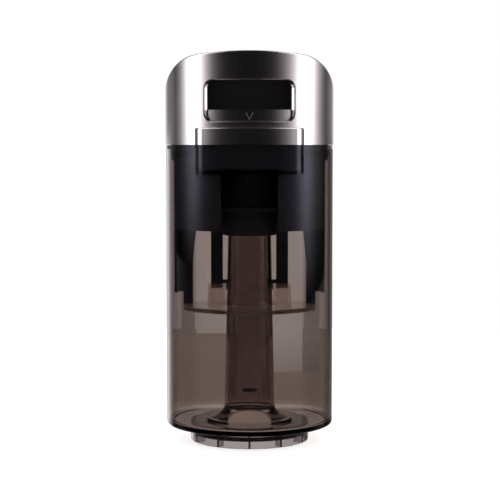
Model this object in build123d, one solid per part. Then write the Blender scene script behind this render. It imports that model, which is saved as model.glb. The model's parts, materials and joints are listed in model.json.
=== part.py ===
from build123d import *

import math
import os

# Dirty water tank of a wet floor washer, millimetres.
# Z runs up the stand pipe, Y to the flat back, and the origin is on the pipe's axis under the collar.

# Tank shell: round in front, flat behind
tank_radius = 56.0
back_flat = 40.0  # axis to flat back
corner_radius = 2.5  # flat back to round wall
least_corner = 0.8
edge_match = 0.01  # tolerance when edges are picked by their place
tank_wall = 2.5
tank_height = 188.0  # rim to mouth
rim_round = 2.0
floor_thick = 2.5
floor_round = 3.0
seat_gap = 0.05  # weld line between floor, flange and collar

# Stand pipe and inlet
inlet_radius = 15.2
inlet_length = 11.5  # straight bore above the bell mouth
pipe_wall = 2.0
pipe_top_radius = 14.0
pipe_depth = 34.0  # mouth to top of pipe
bell_radius = 26.0
bell_rise = 5.0
bell_round = 6.0  # bell to pipe, outside
flange_reach = 3.0
flange_thick = 1.6

# Collar under the tank
collar_radius = 39.8
collar_wall = 2.0
collar_drop = 11.0  # below the tank's rim
collar_web = 2.0
collar_web_reach = 3.9
rib_count = 11
rib_thick = 1.4
rib_reach = 5.4
inlet_seal_low = 4.6
inlet_seal_thick = 2.2
inlet_seal_width = 4.2
inlet_seal_fit = 0.2

# Cap
cap_height = 59.8
cap_overhang = 0.3
cap_wall = 2.3
cap_crown = 320.0  # radius of the top, seen from the front
cap_round = 25.0  # shoulders, seen from the front
cap_edge = 1.0  # top to upright wall
shoulder_room = 0.1  # outline beside the upright wall
seam_gap = 0.2
window_width = 54.4  # clear width behind the side bevels
window_height = 26.5
window_low = 14.8  # above the cap's lower edge
window_corner = 5.5
window_flare = 1.9  # side bevel, seen from the front
window_bevel = 0.5

# Hump over the seam in front, half on the cap and half on the tank
hump_width = 70.0
hump_proud = 5.0
hump_corner = 9.5
hump_drop = 18.9
hump_rise = 11.1
hump_edge = 1.0
tongue_clear = 0.4
tongue_lift = 1.0

# Deck under the cap, finger well behind the window, filter box behind the well
fit_gap = 0.15
deck_rise = 2.5  # mouth to underside of deck
deck_thick = 2.5
well_wall = 1.8
well_rear_wall = 1.5
well_height = 27.9
well_sill = 1.3  # window's lower edge to the well's floor
well_corner = 1.0
well_depth = 35.1
well_skirt_front = 14.0  # front of the well to its side skirts
box_corner = 4.0
box_wall = 1.8
box_front_wall = 1.5
box_gap = 0.3
chimney_width = 12.0
chimney_length = 20.0
chimney_offset = 20.0
chimney_wall = 1.5

# Release button and latch slide
button_side_gap = 0.7
button_height = 8.0
button_corner = 5.0
button_thick = 3.0
button_drop = 0.4  # below the window's lower edge
button_depth = 12.0
ledge_thick = 1.8
slide_clear = 0.3
press_travel = 4.0
latch_thick = 3.0
latch_gap = 1.5  # below the well's floor
latch_front_width = 36.0
latch_rear_width = 15.0
latch_front_length = 28.0
tab_width = 6.0
tab_offset = 11.0
guide_radius = 2.0
guide_offset = 14.0
guide_y = -38.0
hook_reach = 3.5
hook_gap = 0.5
hook_rise = 2.0
hook_ramp = 1.8
spring_radius = 3.0
spring_wire = 0.8
spring_turns = 5
wire_sides = 6
spring_y = -32.0
spring_cup_depth = 8.0
spring_cup_wall = 1.5

# Plug housing
plug_clear = 0.6
plug_height = 10.0
skirt_step = 2.0
skirt_wall = 2.0
plate_depth = 13.0  # mouth to underside of the plug's plate
plate_thick = 2.5
split_depth = 41.0  # mouth to parting line
split_bevel = 0.4
notch_width = 36.0
seal_drop = 3.5
seal_height = 4.5
seal_depth = 1.6
seal_clear = 0.3
screw_angle = 26.6  # from the X axis
boss_bite = 0.8  # boss into the skirt's wall
screw_radius = 1.5
screw_length = 11.0
screw_head_radius = 2.9
screw_head_height = 2.2
screw_fit = 0.05
boss_radius = 4.0

# Leg frame
skirt_depth = 55.6
web_plate_thick = 2.5
air_gap_width = 60.0
air_gap_front = 12.0
hood_radius = 18.0
hood_wall = 1.8
hood_depth = 60.2
leg_inner_x = 38.3
foot_width = 6.4
leg_depth = 98.6
leg_thick = 3.0
leg_flange_angle = 32.0
leg_corner = 4.0
gusset_x = 34.3
gusset_depth = 79.0
prong_offset = 22.2
prong_width = 8.0
prong_thick = 3.0
prong_y = 6.0
clip_thick = 1.2
clip_gap = 0.3
clip_hang = 4.0  # below the socket's top
clip_bridge = 2.5

# Baffle plate
baffle_radius = 45.0
baffle_depth = 107.0  # mouth to top of plate
baffle_thick = 2.8
baffle_back = 12.0
baffle_corner = 3.0
pipe_room = 2.2
cup_height = 13.0
cup_wall = 1.5
cup_draft = 2.5
prong_fit = 0.3
prong_grip = 3.0

# Shut-off float
float_width = 26.0
float_length = 10.0
float_height = 14.0
float_corner = 3.0
float_travel = 9.0
float_fit = 0.4
pad_thick = 1.5
cage_wall = 1.2
cage_ledge = 1.5
cage_slot_width = 8.0
cage_lug = 4.0
cage_back_gap = 0.6
port_width = 21.0
port_length = 7.0

# Filter cartridge
filter_fit = 0.3
filter_inset = 0.6
filter_depth = 15.5
filter_rim = 1.8
filter_seal_thick = 1.5
filter_stop_thick = 1.8
filter_stop_reach = 2.0
grille_bars = 7
grille_bar_width = 1.6
grille_thick = 2.0
foam_thick = 2.5
pleat_count = 12
pleat_thick = 0.6
pleat_room = 0.8
grip_height = 7.0
grip_dish_width = 18.0
grip_dish_radius = 4.0
grip_dish_depth = 1.0

# Levels and insets that follow from the sizes above
rim_z = collar_drop
floor_z = rim_z
floor_top = floor_z + floor_thick
mouth_z = rim_z + tank_height
pipe_top_z = mouth_z - pipe_depth
pipe_base_radius = inlet_radius + pipe_wall
cap_z = mouth_z + seam_gap
cap_top = cap_z + cap_height
cap_inner = cap_wall - cap_overhang
frame_inset = cap_inner + fit_gap
hump_top = mouth_z + hump_rise
deck_z = mouth_z + deck_rise
deck_top = deck_z + deck_thick
well_z = cap_z + window_low + well_sill
well_under = well_z - well_wall
well_width = window_width
well_outer = well_width + 2 * well_wall
well_back = well_depth - tank_radius
well_rear = well_back + well_rear_wall
box_outer = well_outer
box_width = box_outer - 2 * box_wall
box_height = well_height
box_z = well_z
box_top = box_z + box_height
box_under = box_z - box_wall
box_front = well_rear + box_gap
box_back = back_flat - frame_inset
button_width = well_width - 2 * button_side_gap
button_z = cap_z + window_low - button_drop
button_top = button_z + button_height
button_radius = tank_radius - cap_inner - slide_clear
latch_top = well_under - latch_gap
latch_z = latch_top - latch_thick
plug_inset = tank_wall + plug_clear
skirt_inset = plug_inset + skirt_step
skirt_inner = skirt_inset + skirt_wall
plate_z = mouth_z - plate_depth
split_z = mouth_z - split_depth
baffle_z = mouth_z - baffle_depth
cup_top = baffle_z + cup_height
filter_back = back_flat + cap_overhang - filter_inset
filter_front = filter_back - filter_depth
stop_back = filter_front - filter_seal_thick
float_top = plate_z - float_travel - seal_clear - pad_thick
float_z = float_top - float_height
float_y = back_flat - skirt_inner - cage_back_gap - cage_wall - float_fit - float_length / 2
chimney_y = (box_front + box_front_wall + stop_back - filter_stop_thick) / 2
screw_reach = tank_radius - skirt_inner - boss_radius + boss_bite


def pipe_outer(z):
    """Outer radius of the drafted stand pipe at a height."""
    share = (z - floor_top) / (pipe_top_z - floor_top)
    return pipe_base_radius + share * (pipe_top_radius - pipe_base_radius)


def span(width, length, low, high, x=0.0, y=0.0):
    """Upright box between two levels, centred on x and y."""
    return Pos(x, y, (low + high) / 2) * Box(width, length, high - low)


def disc(radius, low, high, x=0.0, y=0.0):
    """Upright cylinder between two levels."""
    return Pos(x, y, (low + high) / 2) * Cylinder(radius, high - low)


def d_face(inset):
    """Plan of the tank moved inwards: a circle cut by the flat back, corners rounded."""
    radius = tank_radius - inset
    flat = back_flat - inset
    plan = Circle(radius) - Pos(0, flat + radius) * Rectangle(4 * radius, 2 * radius)
    corners = [v for v in plan.vertices() if v.Y > flat - edge_match]
    return fillet(corners, max(corner_radius - inset, least_corner))


def d_prism(inset, low, high):
    """The tank's plan drawn up between two levels."""
    return Pos(0, 0, low) * extrude(d_face(inset), high - low)


def d_ring(outer_inset, inner_inset, low, high):
    """Wall that follows the tank's plan."""
    return d_prism(outer_inset, low, high) - d_prism(inner_inset, low, high)


def hump_face(inset):
    """Plan of the front hump, a wider arc between two side walls, front corners rounded."""
    half = hump_width / 2 - inset
    radius = tank_radius + hump_proud - inset
    plan = Circle(radius) & Pos(0, -tank_radius) * Rectangle(2 * half, tank_radius)
    front = plan.vertices().sort_by(Axis.Y)[:2]
    return fillet(front, hump_corner - inset)


def hump_prism(inset, low, high):
    """Hump between two levels."""
    return Pos(0, 0, low) * extrude(hump_face(inset), high - low)


def dome(inset):
    """Cap's solid form moved inwards: the tank's plan drawn up to a crowned front outline."""
    shrink = inset + cap_overhang
    top = cap_top - shrink
    crown = cap_crown - shrink
    wide = 2 * (tank_radius - inset + shoulder_room)
    front = Pos(0, (cap_z + cap_top) / 2) * Rectangle(wide, cap_height)
    outline = front & Pos(0, top - crown) * Circle(crown)
    shoulders = outline.vertices().sort_by(Axis.Y)[-2:]
    outline = fillet(shoulders, cap_round - shrink)
    return d_prism(inset, cap_z, cap_top) & extrude(Plane.XZ * outline, 2 * tank_radius, both=True)


def top_edges(cap):
    """Rim between the cap's top and its upright walls."""
    found = []
    for face in cap.faces():
        upright = abs(face.normal_at(face.center()).Z) < edge_match
        if upright:
            found += [e for e in face.edges() if e.center().Z > cap_z + cap_height / 4]
    return [e for e in found if e.bounding_box().size.X > edge_match]


def front_block(width, height, corner, low, near, far):
    """Rounded rectangle seen from the front, run along Y from near to far."""
    plan = Pos(0, low + height / 2) * RectangleRounded(width, height, corner)
    return Pos(0, far, 0) * extrude(Plane.XZ * plan, far - near)


def make_tank_body():
    """Clear tank: shell, floor with the pipe's hole, and hump pocket in one moulding."""
    body = d_prism(0, rim_z, mouth_z)
    rim = [e for e in body.edges() if e.center().Z < rim_z + edge_match]
    body = fillet(rim, rim_round)
    body += hump_prism(0, mouth_z - hump_drop, mouth_z)
    cavity = d_prism(tank_wall, floor_top, mouth_z)
    low_edges = [e for e in cavity.edges() if e.center().Z < floor_top + edge_match]
    body -= fillet(low_edges, floor_round)
    body -= hump_prism(tank_wall, mouth_z - hump_drop + tank_wall, mouth_z)
    return body - disc(bell_radius, floor_z, floor_top)


def make_stand_pipe():
    """Drafted pipe that widens to a bell mouth, with a flange that seats on the floor."""
    seat = floor_top + seat_gap
    throat = seat + bell_rise
    shoulder = throat + inlet_length
    neck = throat + flange_thick
    half = Polyline(
        (bell_radius, seat),
        (bell_radius + flange_reach, seat),
        (bell_radius + flange_reach, seat + flange_thick),
        (bell_radius, seat + flange_thick),
        (pipe_outer(neck), neck),
        (pipe_top_radius, pipe_top_z),
        (pipe_top_radius - pipe_wall, pipe_top_z),
        (pipe_outer(shoulder) - pipe_wall, shoulder),
        (inlet_radius, shoulder),
        (inlet_radius, throat),
        close=True,
    )
    wall = make_face(half)
    bend = [v for v in wall.vertices() if abs(v.Y - neck) < edge_match and v.X > inlet_radius + edge_match]
    return revolve(Plane.XZ * fillet(bend, bell_round), Axis.Z)


def make_base_collar():
    """Clear spigot ring under the floor, stiffened by radial ribs above and below its seal."""
    top = floor_z - seat_gap
    inner = collar_radius - collar_wall
    ring = disc(collar_radius, 0, top) - disc(inner, 0, top - collar_web)
    ring -= disc(inner - collar_web_reach, 0, top)
    seal_top = inlet_seal_low + inlet_seal_thick
    rows = [(0, inlet_seal_low - inlet_seal_fit), (seal_top + inlet_seal_fit, top - collar_web)]
    root = collar_wall / 2
    for low, high in rows:
        rib = span(rib_thick, rib_reach + root, low, high, y=(rib_reach - root) / 2 - inner)
        for turn in range(rib_count):
            ring += Rot(0, 0, turn * 360 / rib_count) * rib
    return ring


def make_inlet_seal():
    """Rubber ring between the two rows of ribs."""
    outer = collar_radius - collar_wall - inlet_seal_fit
    top = inlet_seal_low + inlet_seal_thick
    return disc(outer, inlet_seal_low, top) - disc(outer - inlet_seal_width, inlet_seal_low, top)


def make_lid_cap():
    """Thin domed cap with the finger window, the filter opening and the latch slot."""
    shell = dome(-cap_overhang)
    shell = fillet(top_edges(shell), cap_edge)
    hump = hump_prism(-cap_overhang, cap_z, hump_top)
    brow = hump.faces().sort_by(Axis.Z)[-1].edges().sort_by(Axis.Y)[:-1]
    shell += fillet(brow, hump_edge)
    shell -= dome(cap_inner)
    shell -= hump_prism(cap_inner, cap_z, hump_top - cap_wall)
    shell -= window_cut()
    shell = chamfer(window_edges(shell), window_bevel)
    shell -= front_block(box_width, box_height, box_corner, box_z, back_flat / 2, 2 * back_flat)
    slot_width = latch_rear_width + 2 * slide_clear
    slot_low = latch_z - press_travel - slide_clear
    return shell - span(slot_width, back_flat, slot_low, latch_top + slide_clear, y=back_flat)


def window_cut():
    """Room of the finger window, flared to the front so that its side walls can be seen."""
    half = window_width / 2
    inner = math.sqrt((tank_radius - cap_inner) ** 2 - half**2)
    outer = math.sqrt((tank_radius + cap_overhang) ** 2 - (half + window_flare) ** 2)
    slope = window_flare / (outer - inner)
    front = tank_radius + hump_proud
    wide = half + slope * (front - inner)
    back = inner - cap_wall
    narrow = half - slope * cap_wall
    plan = Polyline((-wide, -front), (wide, -front), (narrow, -back), (-narrow, -back), close=True)
    room = Pos(0, 0, cap_z + window_low) * extrude(make_face(plan), window_height)
    corners = [e for e in room.edges() if abs(e.center().X) > half and abs(e.center().X) < wide]
    slanted = [e for e in corners if e.bounding_box().size.Y > front - outer]
    return fillet(slanted, window_corner)


def window_edges(shell):
    """Outer rim of the finger window."""
    half = window_width / 2 + window_flare + cap_wall
    outer = tank_radius + cap_overhang - cap_wall / 4
    low = cap_z + window_low - edge_match
    high = low + window_height + 2 * edge_match
    found = []
    for edge in shell.edges():
        box = edge.bounding_box()
        middle = edge.position_at(0.5)
        reach = math.hypot(middle.X, middle.Y)
        inside = abs(middle.X) < half and low < middle.Z < high and middle.Y < 0
        if inside and box.max.Z < high and box.min.Z > low and reach > outer:
            found.append(edge)
    return found


def make_lid_deck():
    """Deck under the cap: duct holes, spring cup and the guide pins of the latch slide."""
    deck = d_prism(frame_inset, deck_z, deck_top)
    hollow = chimney_width - 2 * chimney_wall
    for side in (-1, 1):
        x = side * chimney_offset
        deck -= span(hollow, chimney_length - 2 * chimney_wall, deck_z, deck_top, x=x, y=chimney_y)
        deck += disc(guide_radius, deck_top, well_under, x=side * guide_offset, y=guide_y)
    cup_radius = spring_radius + spring_wire + slide_clear
    deck += disc(cup_radius + spring_cup_wall, deck_z - spring_cup_depth, deck_z, y=spring_y)
    deck -= disc(cup_radius, spring_seat(), deck_top, y=spring_y)
    for x, y in screw_places():
        deck -= disc(screw_radius + screw_fit, deck_z, deck_top, x=x, y=y)
    return deck


def make_finger_well():
    """Black tub behind the window, open in front, on two side skirts that stand on the deck."""
    front = -tank_radius
    high = well_height + 2 * well_wall
    tub = front_block(well_outer, high, well_corner + well_wall, well_under, front, well_rear)
    skirt_front = front + well_skirt_front
    tub += span(well_outer, well_rear - skirt_front, deck_top, well_z, y=(well_rear + skirt_front) / 2)
    tub -= front_block(well_width, well_height, well_corner, well_z, front, well_back)
    tub -= span(well_width, 4 * tank_radius, deck_top, well_under)
    return (tub & dome(frame_inset)) - button_slot()


def make_filter_box():
    """Black box behind the well, open to the back: filter stop inside, two air ducts down to the deck."""
    high = box_height + 2 * box_wall
    middle = (box_front + box_back) / 2
    box = front_block(box_outer, high, box_corner + box_wall, box_under, box_front, box_back)
    box += span(box_outer, box_back - box_front, deck_top, box_z, y=middle)
    box -= front_block(box_width, box_height, box_corner, box_z, box_front + box_front_wall, box_back)
    box -= span(box_width, 4 * tank_radius, deck_top, box_under)
    stop_front = stop_back - filter_stop_thick
    stop = front_block(
        box_width + box_wall, box_height + box_wall, box_corner, box_z - box_wall / 2, stop_front, stop_back
    )
    gap = filter_stop_reach
    stop -= front_block(
        box_width - 2 * gap, box_height - 2 * gap, box_corner, box_z + gap, stop_front, stop_back
    )
    box = (box + stop) & dome(frame_inset)
    hollow = chimney_width - 2 * chimney_wall
    for x in (-chimney_offset, chimney_offset):
        box += span(chimney_width, chimney_length, deck_top, box_under, x=x, y=chimney_y)
        box -= span(hollow, chimney_length - 2 * chimney_wall, deck_top, box_z, x=x, y=chimney_y)
    return box


def spring_seat():
    """Floor of the spring's cup."""
    return deck_z - spring_cup_depth + spring_cup_wall


def button_slot():
    """Room in the well's floor for the button's front plate."""
    radius = button_radius - button_thick - slide_clear
    slot = span(well_width, tank_radius, deck_top, button_top + slide_clear, y=-tank_radius / 2)
    return slot - disc(radius, deck_top, button_top + slide_clear)


def screw_places():
    """Centres of the four lid screws."""
    x = screw_reach * math.cos(math.radians(screw_angle))
    y = screw_reach * math.sin(math.radians(screw_angle))
    return [(-x, -y), (-x, y), (x, -y), (x, y)]


def make_release_button():
    """Curved bar behind the window's lower edge, with a finger ledge along its top."""
    far = -button_radius + button_depth
    high = button_height + button_corner
    block = front_block(button_width, high, button_corner, button_z, -tank_radius, far)
    block -= span(2 * button_width, 4 * tank_radius, button_top, button_top + 2 * button_corner)
    bar = block & disc(button_radius, button_z, button_top)
    return bar - disc(button_radius - button_thick, button_z, button_top - ledge_thick)


def make_latch_slide():
    """Slide under the well: tabs that carry the button in front, hook through the cap's back."""
    front = -button_radius
    split = front + latch_front_length
    back = back_flat + cap_overhang + hook_gap + hook_reach
    plate = span(latch_front_width, latch_front_length, latch_z, latch_top, y=(front + split) / 2)
    plate += span(latch_rear_width, back - split, latch_z, latch_top, y=(back + split) / 2)
    hook_y = back - hook_reach / 2
    plate += span(latch_rear_width, hook_reach, latch_top, latch_top + hook_rise, y=hook_y)
    crest = plate.edges().filter_by(Axis.X).sort_by(Axis.Z)[-2:].sort_by(Axis.Y)[-1]
    plate = chamfer(crest, hook_ramp)
    for side in (-1, 1):
        x = side * tab_offset
        plate += span(tab_width, button_thick, latch_z, button_z, x=x, y=front + button_thick / 2)
        plate -= disc(guide_radius + slide_clear, latch_z, latch_top, x=side * guide_offset, y=guide_y)
    return plate - round_outside()


def round_outside():
    """Everything in front of the round face that the button slides behind."""
    block = span(4 * tank_radius, tank_radius, latch_z, button_z, y=-tank_radius)
    return block - disc(button_radius, latch_z, button_z)


def make_latch_spring():
    """Return spring between its cup in the deck and the slide."""
    low = spring_seat() + spring_wire / 2
    height = latch_z - spring_wire / 2 - low
    path = Helix(height / spring_turns, height, spring_radius, center=(0, spring_y, low))
    wire = Plane(path @ 0, z_dir=path % 0) * RegularPolygon(spring_wire / 2, wire_sides)
    return sweep(wire, path, is_frenet=True)


def make_plug_housing():
    """Black plug of the tank's mouth: seal flange, skirt, plate with air port, bosses, front tongue."""
    plug_low = mouth_z - plug_height
    body = d_ring(plug_inset, skirt_inner, plug_low, cap_z)
    body += d_ring(frame_inset, skirt_inner, cap_z, deck_z)
    skirt = d_prism(skirt_inset, split_z, plug_low)
    parting = [e for e in skirt.edges() if e.center().Z < split_z + edge_match]
    body += chamfer(parting, split_bevel) - d_prism(skirt_inner, split_z, plug_low)
    tongue_low = mouth_z - hump_drop + tank_wall + tongue_lift
    tongue = hump_prism(tank_wall + tongue_clear, tongue_low, mouth_z)
    body += tongue - d_prism(skirt_inner, tongue_low, mouth_z)
    body -= span(notch_width, tank_radius, split_z, tongue_low, y=-tank_radius)
    body += d_prism(skirt_inset, plate_z, plate_z + plate_thick)
    port = SlotOverall(port_width, port_length)
    body -= Pos(0, float_y, plate_z) * extrude(port, plate_thick)
    for x, y in screw_places():
        body += disc(boss_radius, plate_z + plate_thick, deck_z, x=x, y=y)
        body -= disc(screw_radius + screw_fit, deck_z - screw_length, deck_z, x=x, y=y)
    seal_top = mouth_z - seal_drop
    groove = d_ring(-hump_proud, plug_inset + seal_depth, seal_top - seal_height, seal_top)
    return body - (groove - tongue_keep())


def tongue_keep():
    """Tongue in front of the plug's round wall, which the seal groove leaves whole."""
    low = mouth_z - hump_drop
    return hump_prism(0, low, mouth_z) - d_prism(plug_inset, low, mouth_z)


def float_box(grow, low, high):
    """Float's plan grown by a clearance, between two levels."""
    plan = RectangleRounded(float_width + 2 * grow, float_length + 2 * grow, float_corner + grow)
    return Pos(0, float_y, low) * extrude(plan, high - low)


def make_float_cage():
    """Slotted cage under the air port, hung by two lugs, that guides the float and holds it from below."""
    low = float_z - cage_wall
    grow = float_fit + cage_wall
    cage = float_box(grow, low, plate_z)
    lug_width = float_width + 2 * grow + 2 * cage_lug
    lug_length = float_length + 2 * grow - 2 * float_corner
    cage += span(lug_width, lug_length, plate_z - cage_wall, plate_z, y=float_y)
    cage -= float_box(float_fit, float_z, plate_z)
    cage -= float_box(-cage_ledge, low, float_z)
    half = float_width / 4
    for x in (-half, half):
        slot_low = float_z + cage_wall
        cage -= span(cage_slot_width, 4 * float_length, slot_low, plate_z - cage_wall, x=x, y=float_y)
    return cage


def make_lid_seal():
    """Rubber ring in the plug's groove."""
    seal_top = mouth_z - seal_drop
    ring = d_ring(tank_wall + seal_clear, plug_inset + seal_depth, seal_top - seal_height, seal_top)
    return ring - tongue_keep()


def make_lid_screws():
    """Four pan head screws through the deck into the plug's bosses."""
    group = []
    for x, y in screw_places():
        screw = disc(screw_radius, deck_top - screw_length, deck_top, x=x, y=y)
        head = disc(screw_head_radius, deck_top, deck_top + screw_head_height, x=x, y=y)
        rim = head.edges().sort_by(Axis.Z)[-1]
        group.append(screw + chamfer(rim, screw_head_height / 2))
    return Compound(children=[part.solids()[0] for part in group])


def make_leg_frame():
    """Black lower separator: skirt, hood over the pipe, T-section legs and clip prongs."""
    skirt_z = mouth_z - skirt_depth
    hood_z = mouth_z - hood_depth
    frame = d_ring(skirt_inset, skirt_inner, skirt_z, split_z)
    frame -= span(notch_width, tank_radius, skirt_z, split_z, y=-tank_radius)
    web_z = split_z - web_plate_thick
    web = d_prism(skirt_inset, web_z, split_z)
    frame += web - span(notch_width, tank_radius, web_z, split_z, y=-tank_radius)
    air_back = back_flat - skirt_inner
    air_y = (air_back + air_gap_front) / 2
    frame -= span(air_gap_width, air_back - air_gap_front, web_z, split_z, y=air_y)
    hood = disc(hood_radius, hood_z, plate_z)
    frame += hood - span(4 * hood_radius, hood_radius, hood_z, web_z, y=hood_radius)
    frame -= disc(hood_radius - hood_wall, hood_z, plate_z - hood_wall)
    for side in (-1, 1):
        frame += make_leg(side, web_z)
        frame += make_prong(side, web_z)
    return frame


def make_prong(side, top):
    """Prong for a clip socket, with a thin arm outside the socket on the pipe's side."""
    far = prong_offset + prong_width / 2
    near = prong_offset - prong_width / 2
    arm = near - prong_fit - cup_wall - clip_gap
    tip_z = cup_top - prong_grip
    arm_z = cup_top - clip_hang
    bridge_z = cup_top + clip_gap
    outline = Polyline(
        (far, top),
        (far, tip_z),
        (near, tip_z),
        (near, bridge_z),
        (arm, bridge_z),
        (arm, arm_z),
        (arm - clip_thick, arm_z),
        (arm - clip_thick, bridge_z + clip_bridge),
        (near, bridge_z + clip_bridge),
        (near, top),
        close=True,
    )
    prong = Pos(0, prong_y, 0) * extrude(Plane.XZ * make_face(outline), prong_thick / 2, both=True)
    if side < 0:
        return mirror(prong, Plane.YZ)
    return prong


def make_leg(side, top):
    """One T-section leg: outer flange along the skirt and an inner web that ends in a foot."""
    leg_z = mouth_z - leg_depth
    outer = tank_radius - skirt_inset
    gusset_z = mouth_z - gusset_depth
    web = Polyline(
        (gusset_x, top),
        (leg_inner_x, gusset_z),
        (leg_inner_x, baffle_z),
        (leg_inner_x + foot_width, baffle_z),
        (leg_inner_x + foot_width, leg_z),
        (outer - skirt_wall / 2, leg_z),
        (outer - skirt_wall / 2, top),
        close=True,
    )
    leg = extrude(Plane.XZ * make_face(web), leg_thick / 2, both=True)
    half = outer * math.sin(math.radians(leg_flange_angle / 2))
    panel = Pos(0, (leg_z + top + leg_corner) / 2) * RectangleRounded(
        2 * half, top - leg_z + leg_corner, leg_corner
    )
    flange = extrude(Plane.YZ * panel, tank_radius)
    flange &= disc(outer, leg_z, top) - disc(outer - skirt_wall, leg_z, top)
    leg += flange
    if side < 0:
        return mirror(leg, Plane.YZ)
    return leg


def make_baffle_plate():
    """Clear horseshoe plate round the pipe with two drafted clip sockets."""
    low = baffle_z - baffle_thick
    notch = pipe_outer(low) + pipe_room
    plan = Circle(baffle_radius) - Pos(0, baffle_back + baffle_radius) * Rectangle(
        4 * baffle_radius, 2 * baffle_radius
    )
    plan -= Circle(notch)
    corners = [v for v in plan.vertices() if v.Y > baffle_back - edge_match]
    plate = Pos(0, 0, low) * extrude(fillet(corners, baffle_corner), baffle_thick)
    hollow_width = prong_width + 2 * prong_fit
    hollow_length = prong_thick + 2 * prong_fit
    flare = cup_height * math.tan(math.radians(cup_draft))
    for side in (-1, 1):
        foot = Rectangle(hollow_width + 2 * cup_wall + 2 * flare, hollow_length + 2 * cup_wall + 2 * flare)
        cup = Pos(side * prong_offset, prong_y, baffle_z) * extrude(foot, cup_height, taper=cup_draft)
        plate += cup
        plate -= span(hollow_width, hollow_length, low, cup_top, x=side * prong_offset, y=prong_y)
    return plate


def make_float():
    """Float block, rounded along its lower edge."""
    block = float_box(0, float_z, float_top)
    rim = [e for e in block.edges() if e.center().Z < float_z + edge_match]
    return fillet(rim, float_corner / 2)


def make_float_pad():
    """Rubber pad that closes the air port."""
    return float_box(-cage_wall, float_top, float_top + pad_thick)


def filter_block(grow, near, far):
    """Section of the filter cartridge moved outwards, between two depths."""
    shrink = filter_fit - grow
    return front_block(
        box_width - 2 * shrink,
        box_height - 2 * shrink,
        box_corner - shrink,
        box_z + shrink,
        near,
        far,
    )


def make_filter_frame():
    """Cartridge frame with the outlet grille and a thumb grip across its middle."""
    frame = filter_block(0, filter_front, filter_back)
    frame -= filter_block(-filter_rim, filter_front, filter_back)
    middle = box_z + box_height / 2
    pitch = (box_width - 2 * filter_rim) / (grille_bars + 1)
    grille_y = filter_back - grille_thick / 2
    low = box_z + filter_rim
    high = box_top - filter_rim
    for index in range(grille_bars):
        x = (index - (grille_bars - 1) / 2) * pitch
        frame += span(grille_bar_width, grille_thick, low, high, x=x, y=grille_y)
    crossbar = filter_block(-filter_rim / 2, filter_back - grille_thick, filter_back)
    grip_low = middle - grip_height / 2
    frame += crossbar & span(box_width, back_flat, grip_low, grip_low + grip_height, y=back_flat)
    dish = Pos(0, filter_back + grip_dish_radius - grip_dish_depth, middle)
    return frame - dish * Rot(0, 90, 0) * Cylinder(grip_dish_radius, grip_dish_width)


def make_filter_media():
    """Filter paper folded into upright pleats."""
    half = box_width / 2 - filter_fit - filter_rim - pleat_room
    near = filter_front + foam_thick + pleat_room
    far = filter_back - grille_thick - pleat_room
    pitch = 2 * half / pleat_count
    front = []
    for fold in range(2 * pleat_count + 1):
        y = near + pleat_thick if fold % 2 == 0 else far
        front.append((-half + fold * pitch / 2, y))
    back = [(x, y - pleat_thick) for x, y in reversed(front)]
    outline = Polyline(*front, *back, close=True)
    low = box_z + filter_fit + filter_rim + pleat_room
    high = box_top - filter_fit - filter_rim - pleat_room
    return Pos(0, 0, low) * extrude(make_face(outline), high - low)


def make_prefilter_foam():
    """Foam pad ahead of the pleats."""
    return filter_block(-filter_rim - pleat_room / 2, filter_front, filter_front + foam_thick)


def make_filter_seal():
    """Rubber ring between the cartridge and its stop."""
    ring = filter_block(-filter_fit, stop_back, filter_front)
    return ring - filter_block(-filter_rim - filter_fit, stop_back, filter_front)


makers = {
    "tank_body": make_tank_body,
    "stand_pipe": make_stand_pipe,
    "base_collar": make_base_collar,
    "inlet_seal": make_inlet_seal,
    "lid_cap": make_lid_cap,
    "lid_deck": make_lid_deck,
    "finger_well": make_finger_well,
    "filter_box": make_filter_box,
    "release_button": make_release_button,
    "latch_slide": make_latch_slide,
    "latch_spring": make_latch_spring,
    "plug_housing": make_plug_housing,
    "lid_seal": make_lid_seal,
    "lid_screws": make_lid_screws,
    "leg_frame": make_leg_frame,
    "baffle_plate": make_baffle_plate,
    "float_cage": make_float_cage,
    "float": make_float,
    "float_pad": make_float_pad,
    "filter_frame": make_filter_frame,
    "filter_media": make_filter_media,
    "prefilter_foam": make_prefilter_foam,
    "filter_seal": make_filter_seal,
}

os.makedirs("parts", exist_ok=True)
for name, make in makers.items():
    export_step(make(), f"parts/{name}.step")
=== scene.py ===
import json
import math

import bpy
import numpy as np
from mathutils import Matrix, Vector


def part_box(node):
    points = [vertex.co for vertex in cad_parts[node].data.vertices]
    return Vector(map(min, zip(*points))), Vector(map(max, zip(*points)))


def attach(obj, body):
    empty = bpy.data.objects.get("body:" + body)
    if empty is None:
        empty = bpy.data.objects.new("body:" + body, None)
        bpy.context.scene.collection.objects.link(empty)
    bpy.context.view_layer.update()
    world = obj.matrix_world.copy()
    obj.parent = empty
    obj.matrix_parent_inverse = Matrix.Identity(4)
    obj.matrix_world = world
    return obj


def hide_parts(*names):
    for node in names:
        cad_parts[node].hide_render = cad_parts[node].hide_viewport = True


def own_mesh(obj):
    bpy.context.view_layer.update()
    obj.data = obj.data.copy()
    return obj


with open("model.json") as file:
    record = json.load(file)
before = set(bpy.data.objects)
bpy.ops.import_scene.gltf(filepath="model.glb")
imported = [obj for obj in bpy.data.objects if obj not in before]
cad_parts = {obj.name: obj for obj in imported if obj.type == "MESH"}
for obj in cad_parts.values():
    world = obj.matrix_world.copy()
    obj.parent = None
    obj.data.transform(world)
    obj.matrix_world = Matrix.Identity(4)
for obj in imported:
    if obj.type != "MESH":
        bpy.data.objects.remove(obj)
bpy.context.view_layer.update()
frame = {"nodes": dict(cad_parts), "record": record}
nodes = frame["nodes"]
slotOf = {row["node"]: row["material_slot"] for row in frame["record"]["subparts"]}
print("frame loaded with", len(nodes), "nodes")


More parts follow.
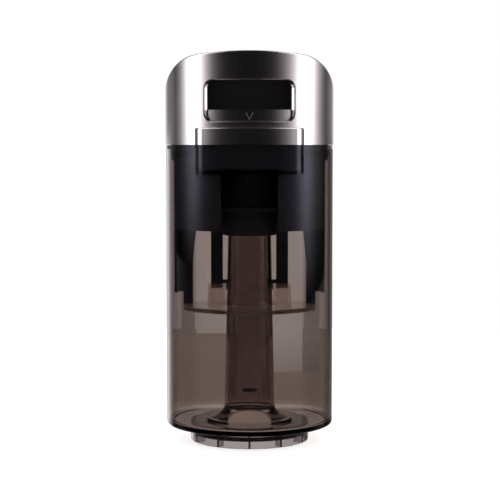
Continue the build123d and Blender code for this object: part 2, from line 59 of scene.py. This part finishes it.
class Val:  # a socket that takes part in Python expressions, so that 1 - mask adds a Math node
    def __init__(self, tree, socket):
        self.tree = tree
        self.socket = socket

    def node(self, kind, settings, values, out=0):  # any other node: settings first, then its sockets
        made = self.tree.nodes.new(kind)
        for key, setting in settings.items():
            setattr(made, key, setting)
        for key, value in values.items():
            if isinstance(value, Val):
                self.tree.links.new(value.socket, made.inputs[key])
            else:
                made.inputs[key].default_value = value
        return Val(self.tree, made.outputs[out]) if made.outputs else None

    def maths(self, operation, first, second):
        return self.node("ShaderNodeMath", {"operation": operation}, {0: first, 1: second})

    def __add__(self, other):
        return self.maths("ADD", self, other)

    def __radd__(self, other):
        return self.maths("ADD", other, self)

    def __sub__(self, other):
        return self.maths("SUBTRACT", self, other)

    def __rsub__(self, other):
        return self.maths("SUBTRACT", other, self)

    def __mul__(self, other):
        return self.maths("MULTIPLY", self, other)

    def __rmul__(self, other):
        return self.maths("MULTIPLY", other, self)

    def __pow__(self, other):
        return self.maths("POWER", self, other)

    def __rpow__(self, other):
        return self.maths("POWER", other, self)

    def over(self, low, high):  # 0 at low, 1 at high, clamped
        return self.node("ShaderNodeMapRange", {"clamp": True}, {0: self, 1: low, 2: high})

    def noise(self, scale, detail=2.0):
        return self.node("ShaderNodeTexNoise", {}, {"Vector": self, "Scale": scale, "Detail": detail})

    def cells(self, scale):  # distance to the nearest cell centre
        return self.node("ShaderNodeTexVoronoi", {}, {"Vector": self, "Scale": scale})

    def stretched(self, x, y, z):  # the same coordinates, drawn out along an axis
        return self.node("ShaderNodeMapping", {}, {"Vector": self, "Scale": (x, y, z)})

    def part(self, axis):
        return self.node("ShaderNodeSeparateXYZ", {}, {0: self}, axis)

    def mix(self, low, high):  # self picks between two colours
        return self.node("ShaderNodeMix", {"data_type": "RGBA"}, {0: self, 6: (*low, 1), 7: (*high, 1)}, 2)

    def along(self, direction):  # how far a point lies along a direction
        dot = {"operation": "DOT_PRODUCT"}
        return self.node("ShaderNodeVectorMath", dot, {0: self, 1: direction}, "Value")

    def bump(self, strength, distance):
        return self.node("ShaderNodeBump", {}, {"Strength": strength, "Distance": distance, "Height": self})


def startMaterial(name):
    mat = bpy.data.materials.new(name)
    mat.use_nodes = True
    mat.node_tree.nodes.clear()
    coordinates = mat.node_tree.nodes.new("ShaderNodeTexCoord")
    return mat, Val(mat.node_tree, coordinates.outputs["Object"])


# painted light: a pale diffuse look that stands in for light glowing at the foot of the pipe
archLightPaint = {"Base Color": (0.95, 0.86, 0.76, 1), "Roughness": 0.4}


def endMaterial(mat, place, sockets, absorb=None, pale=None):  # clear plastics also absorb inside
    skin = place.node("ShaderNodeBsdfPrincipled", {}, sockets)
    if absorb is None:
        place.node("ShaderNodeOutputMaterial", {}, {"Surface": skin})
        return mat
    if pale is not None:  # painted light: a pale lit patch painted into part of the wall
        archLightSkin = place.node("ShaderNodeBsdfPrincipled", {}, archLightPaint)
        skin = place.node("ShaderNodeMixShader", {}, {0: pale, 1: skin, 2: archLightSkin})
    scattered = place.node("ShaderNodeLightPath", {}, {}, "Is Diffuse Ray")
    shadowed = place.node("ShaderNodeLightPath", {}, {}, "Is Shadow Ray")
    bare = place.node("ShaderNodeBsdfTransparent", {}, {})  # soft light reaches what stands behind the wall
    both = place.node("ShaderNodeMixShader", {}, {0: (scattered + shadowed).over(0, 1), 1: skin, 2: bare})
    inside = place.node("ShaderNodeVolumeAbsorption", {}, absorb)
    place.node("ShaderNodeOutputMaterial", {}, {"Surface": both, "Volume": inside})
    return mat


# clear plastics: what passes is set by the wall's thickness, the skin is nearly smooth
smoked = {"tint": (0.3275, 0.22, 0.1825, 1), "density": 400.0, "gloss": (0.26, 0.265, 0.4, 1)}
clear = {"tint": (0.55, 0.5, 0.5, 1), "density": 1000.0, "gloss": (1, 1, 1, 1)}
baffle = {
    "tint": (0.45, 0.33, 0.28, 1),
    "density": 45.0,
    "gloss": (0.8, 0.78, 0.76, 1),
    "pass": 0.9,
    "dye": (0.94, 0.87, 0.84),
}
pipe = {
    "tint": (0.35, 0.24, 0.25, 1),
    "density": 180.0,
    "gloss": (0.6, 0.6, 0.6, 1),
    "dye": (0.62, 0.55, 0.53),
    "dyeFrom": 0.007,
    "dyeFull": 0.011,
    "window": (0.0141, 0.0068),  # half width and height of the pale arch of painted light
    "base": 0.0148,
    "foot": 0.003,  # how far the arch reaches below its base
}


def clearPlastic(name, look):
    mat, place = startMaterial(name)
    smear = place.stretched(1, 1, 0.3).noise(45, 4)  # faint upright wipe marks
    hair = place.stretched(1, 1, 0.06).noise(900)  # hairline scratches
    dyed = place.part(2).over(look.get("dyeFrom", -1), look.get("dyeFull", 0))  # dye from a level upwards
    sockets = {
        "Base Color": (dyed + 0.02 * hair).mix((1, 1, 1), look.get("dye", (0.97, 0.97, 0.97))),
        "Roughness": 0.012 + 0.03 * smear.over(0.5, 0.8),
        "Transmission Weight": look.get("pass", 1.0),
        "IOR": 1.5,
        "Specular Tint": look["gloss"],
        "Normal": place.noise(22).bump(0.2, 0.00002),  # mould flow bends reflections a little
    }
    pale = None
    if "window" in look:  # painted light: a pale arch painted on the front of the foot, standing in for the bright glow seen there
        above = (place.part(2) - look["base"]) * (1 / look["window"][1])
        below = (look["base"] - place.part(2)) * (1 / look["foot"])
        high = place.maths("MAXIMUM", above, below)
        wide = place.part(0) * (1 / look["window"][0])
        pale = (1 - (high * high + wide * wide).over(0.9, 1.1)) * (0 - place.part(1)).over(0, 0.004)
    return endMaterial(mat, place, sockets, {"Color": look["tint"], "Density": look["density"]}, pale)


metal = {
    "low": (0.69, 0.625, 0.62),
    "high": (0.77, 0.7, 0.695),
    "rough": 0.235,
    "roughMore": 0.04,
    "flake": 2600,
}


def satinMetal(name, look):
    mat, place = startMaterial(name)
    flake = place.cells(look["flake"])  # metal flakes in the paint
    cloud = place.noise(30, 3)
    sockets = {
        "Base Color": (flake * 0.6 + cloud * 0.5).over(0.3, 0.8).mix(look["low"], look["high"]),
        "Metallic": 1.0,
        "Roughness": look["rough"] + look["roughMore"] * cloud.over(0.3, 0.7),
        "Normal": flake.bump(0.06, 0.00004),
    }
    return endMaterial(mat, place, sockets)


blackMoulding = {"low": (0.02, 0.0165, 0.0155), "high": (0.028, 0.0235, 0.022), "rough": 0.42, "grain": 1700}
# painted reflection: the insert is black plastic; its moulding is lifted and blued to stand in for the bluish
# sheen the tank wall reflects over it
sheenedBlackMoulding = {"low": (0.015, 0.022, 0.04), "high": (0.021, 0.031, 0.055), "rough": 0.45, "grain": 1700}
paleMark = {"low": (0.085, 0.08, 0.077), "high": (0.12, 0.115, 0.11), "rough": 0.5, "grain": 1400}
brownMark = {"low": (0.003, 0.0024, 0.0022), "high": (0.006, 0.0048, 0.0044), "rough": 0.5, "grain": 1400}
darkRubber = {"low": (0.012, 0.012, 0.013), "high": (0.024, 0.024, 0.026), "rough": 0.7, "grain": 900}
whiteFloat = {"low": (0.74, 0.74, 0.72), "high": (0.84, 0.84, 0.82), "rough": 0.42, "grain": 1200}


def mouldedPlastic(name, look):
    mat, place = startMaterial(name)
    grain = place.noise(look["grain"], 3)  # spark-eroded mould skin
    patch = place.noise(40, 2)
    sockets = {
        "Base Color": (grain * 0.5 + patch * 0.5).over(0.35, 0.65).mix(look["low"], look["high"]),
        "Roughness": look["rough"] + 0.14 * patch.over(0.35, 0.7),
        "Normal": grain.bump(0.12, 0.00005),
    }
    return endMaterial(mat, place, sockets)


steel = {"low": (0.5, 0.5, 0.52), "high": (0.68, 0.68, 0.7), "rough": 0.22}


def brightSteel(name, look):
    mat, place = startMaterial(name)
    drawn = place.stretched(1, 1, 12).noise(600, 2)  # drawing marks round the wire and the screw
    sockets = {
        "Base Color": drawn.over(0.3, 0.7).mix(look["low"], look["high"]),
        "Metallic": 1.0,
        "Roughness": look["rough"] + 0.15 * drawn,
    }
    return endMaterial(mat, place, sockets)


paper = {"low": (0.78, 0.77, 0.72), "high": (0.9, 0.89, 0.86), "fibre": 1500}


def filterPaper(name, look):
    mat, place = startMaterial(name)
    fibre = place.stretched(1, 1, 0.2).noise(look["fibre"], 4)
    sockets = {
        "Base Color": fibre.over(0.3, 0.7).mix(look["low"], look["high"]),
        "Roughness": 0.85 + 0.1 * fibre,
        "Normal": fibre.bump(0.35, 0.0001),
    }
    return endMaterial(mat, place, sockets)


foam = {"low": (0.008, 0.008, 0.009), "high": (0.075, 0.075, 0.08), "pore": 900}


def openFoam(name, look):
    mat, place = startMaterial(name)
    pore = place.cells(look["pore"])
    sockets = {
        "Base Color": pore.over(0.1, 0.6).mix(look["high"], look["low"]),
        "Roughness": 0.8 + 0.15 * pore,
        "Normal": (1 - pore).bump(0.8, 0.0004),
    }
    return endMaterial(mat, place, sockets)


finishes = {
    "smoked_plastic": clearPlastic("smokedPlastic", smoked),
    "clear_plastic": clearPlastic("clearPlastic", clear),
    "smoked_baffle": clearPlastic("baffleBrown", baffle),
    "satin_silver": satinMetal("satinChampagne", metal),
    "black_plastic": mouldedPlastic("blackMoulding", blackMoulding),
    "rubber": mouldedPlastic("darkRubber", darkRubber),
    "spring_steel": brightSteel("brightSteel", steel),
    "float_plastic": mouldedPlastic("whiteFloat", whiteFloat),
    "filter_paper": filterPaper("filterPaper", paper),
    "foam": openFoam("foamBlack", foam),
}
sheenedBlack = mouldedPlastic("sheenedBlackMoulding", sheenedBlackMoulding)
ownFinish = {"stand_pipe": clearPlastic("pipeBrown", pipe), "plug_housing": sheenedBlack, "leg_frame": sheenedBlack}
for name, node in nodes.items():
    node.material_slots[0].material = ownFinish.get(name, finishes[slotOf[name]])
print("finishes given to", len(nodes), "nodes")


def surface(name, points, closedU, closedV):  # quads over a grid of points [u, v, xyz]
    rows, columns = points.shape[:2]
    u = np.arange(rows if closedU else rows - 1)
    v = np.arange(columns if closedV else columns - 1)
    i, j = np.meshgrid(u, v, indexing="ij")
    nextI = (i + 1) % rows
    nextJ = (j + 1) % columns
    quads = np.stack([i * columns + j, nextI * columns + j, nextI * columns + nextJ, i * columns + nextJ], -1)
    mesh = bpy.data.meshes.new(name)
    mesh.from_pydata(points.reshape(-1, 3).tolist(), [], quads.reshape(-1, 4).tolist())
    mesh.polygons.foreach_set("use_smooth", np.ones(len(mesh.polygons), bool))
    mesh.update()
    piece = bpy.data.objects.new(name, mesh)
    bpy.context.collection.objects.link(piece)
    return piece


def dress(piece, material, body):
    piece.data.materials.append(material)
    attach(piece, body)


# press-down arrow on the button
arrow = {"width": 0.0047, "height": 0.0043, "line": 0.00043, "proud": 0.00012, "sunk": 0.0003}


def pressArrow():
    low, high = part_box("release_button")
    radius = -low[1]
    middle = (low[2] + high[2]) / 2
    t = np.linspace(-1, 1, 41)  # along the V, its tip at 0
    x = t * arrow["width"] / 2
    z = middle + (np.abs(t) - 0.5) * arrow["height"]
    slope = np.sign(t) * arrow["height"] / (arrow["width"] / 2)
    slope[len(t) // 2] = 0
    length = np.hypot(1, slope)
    side = np.stack([-slope / length, 1 / length], -1)  # across the line, in the plane of the face
    side[len(t) // 2] = (0, length[0])  # mitre at the tip
    a = np.linspace(0, 2 * np.pi, 16, endpoint=False)  # oval section, half of it sunk in the face
    across = np.cos(a) * arrow["line"] / 2
    rise = np.where(np.sin(a) > 0, arrow["proud"], arrow["sunk"]) * np.sin(a)
    px = x[:, None] + across * side[:, :1]
    pz = z[:, None] + across * side[:, 1:]
    py = -np.sqrt((radius + rise) ** 2 - px**2)
    piece = surface("press_arrow", np.stack([px, py, pz], -1), False, True)
    dress(piece, mouldedPlastic("paleMark", paleMark), "latch")


pressArrow()
print("arrow set on the button")

# level bar moulded on the tank's front
bar = {"width": 0.0096, "height": 0.0025, "z": 0.042, "proud": 0.0003, "sunk": 0.0005}


def levelBar():
    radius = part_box("tank_body")[1][0]
    a = np.linspace(0, 2 * np.pi, 64, endpoint=False)  # superellipse outline, exponent 5, closed
    outX = np.sign(np.cos(a)) * np.abs(np.cos(a)) ** 0.4 * bar["width"] / 2
    outZ = np.sign(np.sin(a)) * np.abs(np.sin(a)) ** 0.4 * bar["height"] / 2
    share = np.array([0.0, 0.6, 0.9, 1.0, 1.0])[:, None]  # rows from the face to its edge, then in
    rise = np.array([1.0, 1.0, 0.8, 0.2, -bar["sunk"] / bar["proud"]])[:, None] * bar["proud"]
    px = share * outX
    pz = bar["z"] + share * outZ
    py = -np.sqrt((radius + rise) ** 2 - px**2)
    piece = surface("level_bar", np.stack([px, py, pz], -1), False, True)
    dress(piece, mouldedPlastic("brownMark", brownMark), "tank")


levelBar()
print("level bar set on the tank")

# return spring of the button, wound to the size of the latch spring it replaces
coil = {"wire": 0.0008, "turns": 5, "joint": "button_press", "press": 0.004}


def returnSpring():
    low, high = np.array(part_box("latch_spring"))
    middle = np.array([(low[0] + high[0]) / 2, (low[1] + high[1]) / 2, low[2]])
    radius = (high[0] - low[0] - coil["wire"]) / 2
    rise = high[2] - low[2] - coil["wire"]
    u = np.linspace(0, 1, 301)[:, None, None]  # along the wire
    v = np.linspace(0, 2 * np.pi, 12, endpoint=False)[None, :, None]  # round the wire
    a = 2 * np.pi * coil["turns"] * u
    outward = np.concatenate([np.cos(a), np.sin(a), 0 * a], -1)
    along = np.concatenate([-np.sin(a), np.cos(a), 0 * a + rise / (2 * np.pi * coil["turns"] * radius)], -1)
    upward = np.cross(outward, along / np.linalg.norm(along, axis=-1, keepdims=True))
    end = np.clip(np.minimum(u, 1 - u) / 0.005, 0, 1)
    thick = coil["wire"] / 2 * np.sqrt(1 - (1 - end) ** 2)  # both ends rounded off
    climb = np.array([0, 0, 1]) * (coil["wire"] / 2 + rise * u)
    points = middle + climb + outward * (radius + thick * np.cos(v)) + upward * (thick * np.sin(v))
    piece = surface("return_spring", points, False, True)
    dress(piece, finishes["spring_steel"], "lid")
    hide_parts("latch_spring")
    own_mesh(piece)


returnSpring()
print("spring wound")

# camera at the photograph's angle
view = {"lens": 108.0, "sensor": 36.0, "place": (0.00034, -1.012, 0.199), "pitch": 4.0}
cameraData = bpy.data.cameras.new("photoCamera")
cameraData.lens = view["lens"]
cameraData.sensor_width = view["sensor"]
camera = bpy.data.objects.new("photoCamera", cameraData)
camera.location = view["place"]
camera.rotation_euler = (math.radians(90 - view["pitch"]), 0, 0)
bpy.context.collection.objects.link(camera)
bpy.context.scene.camera = camera

# tall light panels at the sides, azimuth from the camera's axis: a bright core on a wide soft skirt,
# and low sheets further back that only the tank's edges mirror, light on the left and dark on the right
edgeLook = {"low": -0.2, "full": -0.19, "high": 0.195, "mirrorOnly": True}  # below the cap
panels = {
    "leftPanel": {"azimuth": -78, "core": 0.08, "skirt": 0.15, "low": 0.08, "full": 0.2},
    "rightPanel": {"azimuth": 79, "core": 0.083, "skirt": 0.19},
    "leftEdge": {"azimuth": -148, "core": 0.1, "skirt": 0.1, "glow": 1.7, **edgeLook},
    "rightEdge": {"azimuth": 155, "core": 0.1, "skirt": 0.1, "glow": 0.2, **edgeLook},
}
panelLook = {
    "distance": 0.55,
    "skirtShare": 0.25,
    "glow": 3.6,
    "low": 0.05,
    "full": 0.17,
    "high": 1.6,
    "mirrorOnly": False,
}
panelTint = (0.97, 0.98, 1.0)


def lightPanel(name, look):
    turn = math.radians(look["azimuth"])
    outward = np.array([math.sin(turn), -math.cos(turn), 0]) * look["distance"]
    sideways = np.array([math.cos(turn), math.sin(turn), 0])
    reach = 3.5 * look["skirt"]
    t, z = np.meshgrid((-reach, reach), (look["low"], look["high"]), indexing="ij")  # flat sheet over t and z
    points = outward + t[..., None] * sideways + z[..., None] * np.array([0, 0, 1])
    panel = surface(name, points, False, False)
    mat, place = startMaterial(name)
    across = place.along(tuple(sideways))
    square = across * across
    core = math.e ** (square * (-0.5 / look["core"] ** 2))  # two bell curves across the panel
    skirt = math.e ** (square * (-0.5 / look["skirt"] ** 2))
    level = core * (1 - look["skirtShare"]) + skirt * look["skirtShare"]
    rising = place.part(2).over(look["low"], look["full"])  # weaker towards the floor
    tinted = (level * rising).mix((0, 0, 0), panelTint)
    glow = place.node("ShaderNodeEmission", {}, {"Color": tinted, "Strength": look["glow"]})
    place.node("ShaderNodeOutputMaterial", {}, {"Surface": glow})
    panel.data.materials.append(mat)
    panel.visible_camera = False
    panel.visible_diffuse = not look["mirrorOnly"]
    panel.visible_transmission = not look["mirrorOnly"]
    panel.visible_shadow = not look["mirrorOnly"]


for name, look in panels.items():
    lightPanel(name, {**panelLook, **look})

# white surroundings where seen or seen through, and in reflections a dim room with a light back wall
sky = {"front": 0.005, "side": 0.19, "behind": 0.9, "from": 0.86, "wallTop": 0.5, "diffuse": 1.4}
world = bpy.data.worlds.new("studio")
world.use_nodes = True
world.cycles.sampling_method = "NONE"  # so that each kind of ray finds its own level
world.node_tree.nodes.clear()
toSky = Val(world.node_tree, world.node_tree.nodes.new("ShaderNodeTexCoord").outputs["Generated"])
mirrored = toSky.node("ShaderNodeLightPath", {}, {}, "Glossy Depth").over(0, 1)
scattered = toSky.node("ShaderNodeLightPath", {}, {}, "Diffuse Depth").over(0, 1)
aboveWall = toSky.part(2).over(0.7 * sky["wallTop"], sky["wallTop"])
backWall = toSky.part(1).over(sky["from"], 1.0) * (1 - aboveWall)
room = sky["front"] + sky["side"] * toSky.part(1).over(0, 0.35) + sky["behind"] * backWall
unlit = (1 - scattered) * (mirrored * room + (1 - mirrored))
level = unlit + scattered * sky["diffuse"]
backdrop = toSky.node("ShaderNodeBackground", {}, {"Color": (1, 1, 1, 1), "Strength": level})
toSky.node("ShaderNodeOutputWorld", {}, {"Surface": backdrop})
bpy.context.scene.world = world

# pale floor, whitened where the camera sees it so that only a soft shadow stays, with a painted pool of light
# under the clear base for rays through the clear walls
floorLook = {"reach": 0.62, "colour": (0.54, 0.47, 0.42), "lift": 0.8, "near": 0.07, "far": 0.16}


def paleFloor():
    r = np.linspace(0, 1, 12)[:, None] * floorLook["reach"]  # disc: radius times direction
    a = np.linspace(0, 2 * np.pi, 48, endpoint=False)
    points = np.stack([r * np.cos(a), r * np.sin(a), 0 * r * a], -1)
    floor = surface("floor", points, False, True)
    mat, place = startMaterial("paleFloor")
    direct = place.node("ShaderNodeLightPath", {}, {}, "Is Camera Ray")
    through = place.node("ShaderNodeLightPath", {}, {}, "Is Transmission Ray")
    radius = place.node("ShaderNodeVectorMath", {"operation": "LENGTH"}, {0: place}, "Value")
    paintedLightPool = through * (1 - radius.over(floorLook["near"], floorLook["far"]))  # painted pool of light on the floor under the clear base, seen only through the clear walls
    lift = (direct + paintedLightPool).over(0, 1).mix((0, 0, 0), (floorLook["lift"],) * 3)
    tone = place.noise(3).mix(tuple(0.97 * c for c in floorLook["colour"]), floorLook["colour"])
    sockets = {"Base Color": tone, "Roughness": 0.7, "Emission Color": lift, "Emission Strength": 1.0}
    floor.data.materials.append(endMaterial(mat, place, sockets))
    floor.visible_glossy = False


paleFloor()

# white cards behind the tank that show through its clear walls: dimmer wings, a dim one behind the pipe
cards = {
    "leftCard": {"x": (-0.0711, -0.021), "y": 0.57, "glow": 1.0, "foot": 0.87},
    "leftWing": {"x": (-0.12, -0.0711), "y": 0.57, "glow": 0.62, "foot": 0.87},
    "rightCard": {"x": (0.0195, 0.0558), "y": 0.3, "glow": 1.0, "foot": 0.7},
    "rightWing": {"x": (0.0558, 0.09), "y": 0.3, "glow": 0.62, "foot": 0.7},
    "middleCard": {"x": (-0.0165, 0.0165), "topX": (-0.0125, 0.0125), "y": 0.1, "glow": 0.7, "foot": 1.0},
}
cardLook = {"height": 0.2, "more": 1.0, "fade": 0.035}


def whiteCard(name, look):
    footX = np.array(look["x"])[:, None]
    topX = np.array(look.get("topX", look["x"]))[:, None]
    z = np.array([0, cardLook["height"], cardLook["height"] + cardLook["more"]])
    x = footX + (topX - footX) * np.minimum(z / cardLook["height"], 1)  # flat sheet, sides may lean in
    card = surface(name, np.stack([x, 0 * x + look["y"], 0 * x + z], -1), False, False)
    mat, place = startMaterial(name)
    level = look["foot"] + (1 - look["foot"]) * place.part(2).over(0, cardLook["fade"])  # dimmer at the foot
    tinted = level.mix((0, 0, 0), (1, 1, 1))
    glow = place.node("ShaderNodeEmission", {}, {"Color": tinted, "Strength": look["glow"]})
    place.node("ShaderNodeOutputMaterial", {}, {"Surface": glow})
    card.data.materials.append(mat)
    card.visible_camera = False
    card.visible_diffuse = False
    card.visible_glossy = False
    card.visible_shadow = False


for name, look in cards.items():
    whiteCard(name, look)
bpy.context.scene.view_settings.view_transform = "Standard"
print("camera, lights and floor set")
